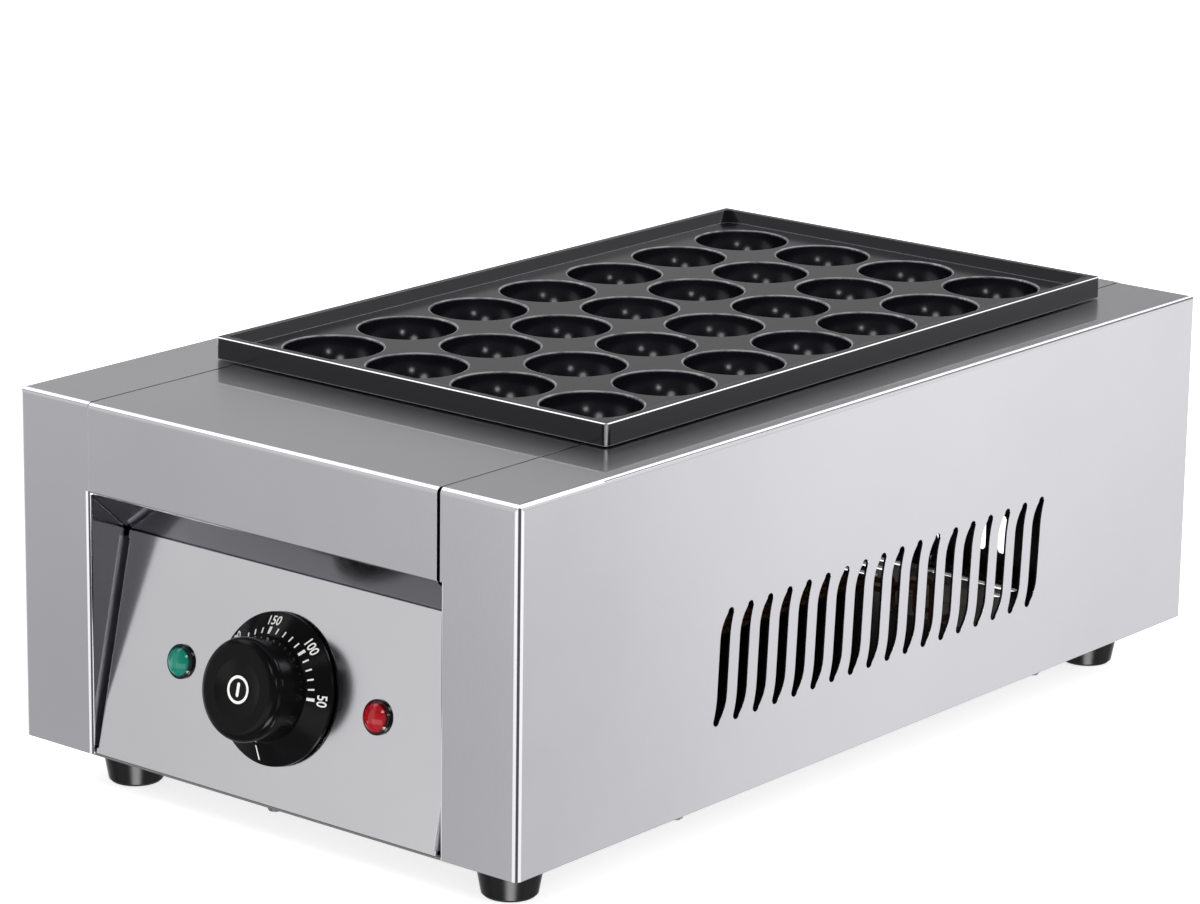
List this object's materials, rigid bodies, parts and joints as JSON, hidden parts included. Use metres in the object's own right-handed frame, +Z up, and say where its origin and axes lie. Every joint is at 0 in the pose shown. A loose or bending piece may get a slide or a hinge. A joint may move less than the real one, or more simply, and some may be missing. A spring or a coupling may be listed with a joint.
{
  "type": "takoyaki maker",
  "caption": "Electric countertop cooker: a cast plate of round cups on a folded stainless body with louvred sides, a tilted control panel, a dial and two pilot lamps.",
  "frame": {"origin": "middle of the outline on the table, under the feet", "axes": "+X to the right side seen from the front, +Y from the control panel to the back, +Z up"},
  "size_m": [0.256, 0.4782, 0.172],
  "materials": {
    "side_steel": "polished stainless sheet, mirror-like",
    "cover_steel": "polished stainless sheet, mirror-like",
    "panel_steel": "polished stainless sheet, mirror-like",
    "base_steel": "plain stainless sheet, satin",
    "inner_sheet": "aluminised sheet, dull",
    "zinc_steel": "zinc plated, satin",
    "screw_steel": "bright plated",
    "cast_plate": "dark non-stick coating on a casting, satin",
    "heater_tube": "oxidised dark green-grey sheath, dull",
    "bush_ceramic": "unglazed",
    "thermostat_case": "moulded, dull",
    "dial_black": "moulded phenolic, satin gloss",
    "cap_black": "moulded phenolic, satin",
    "copper": "bare copper",
    "green_lens": "clear tinted, polished",
    "red_lens": "clear tinted, polished",
    "lamp_black": "moulded, glossy",
    "foot_rubber": "glossy moulded rubber",
    "gland_black": "moulded nylon",
    "terminal_ceramic": "unglazed",
    "terminal_brass": "bare",
    "lead_brown": "glass-fibre sleeve",
    "lead_red": "silicone sleeve",
    "lead_blue": "silicone sleeve"
  },
  "bodies": {
    "body": {"base_plate": "base_steel", "left_side_panel": "side_steel", "right_side_panel": "side_steel", "front_cover": "cover_steel", "control_panel": "panel_steel", "rear_cover": "cover_steel", "mould_plate": "cast_plate", "plate_studs": "zinc_steel", "plate_nuts": "zinc_steel", "front_bracket": "zinc_steel", "rear_bracket": "zinc_steel", "heat_shield": "inner_sheet", "left_heater": "heater_tube", "right_heater": "heater_tube", "heater_bars": "zinc_steel", "heater_bushes": "bush_ceramic", "heater_pins": "screw_steel", "bulkhead": "inner_sheet", "thermostat": "thermostat_case", "thermostat_screws": "screw_steel", "capillary_tube": "copper", "sensing_bulb": "copper", "bulb_clip": "zinc_steel", "green_lamp_lens": "green_lens", "green_lamp_body": "lamp_black", "green_lamp_nut": "lamp_black", "red_lamp_lens": "red_lens", "red_lamp_body": "lamp_black", "red_lamp_nut": "lamp_black", "foot_front_left": "foot_rubber", "foot_front_right": "foot_rubber", "foot_back_left": "foot_rubber", "foot_back_right": "foot_rubber", "foot_screws": "screw_steel", "foot_nuts": "screw_steel", "base_screws": "screw_steel", "back_screws": "screw_steel", "cable_gland": "gland_black", "gland_nut": "gland_black", "terminal_block": "terminal_ceramic", "terminal_screws": "terminal_brass", "panel_leads": "lead_brown", "heater_leads": "lead_red", "lamp_link": "lead_blue"},
    "dial": {"dial_skirt": "dial_black", "knob_grip": "dial_black", "knob_cap": "cap_black", "thermostat_shaft": "screw_steel"}
  },
  "joints": [
    {"name": "dial_turn", "type": "hinge", "parent": "body", "child": "dial", "pos_m": [0, -0.21278, 0.06395], "axis": [0, -0.9748, 0.223], "range_deg": [-103, 183]}
  ]
}
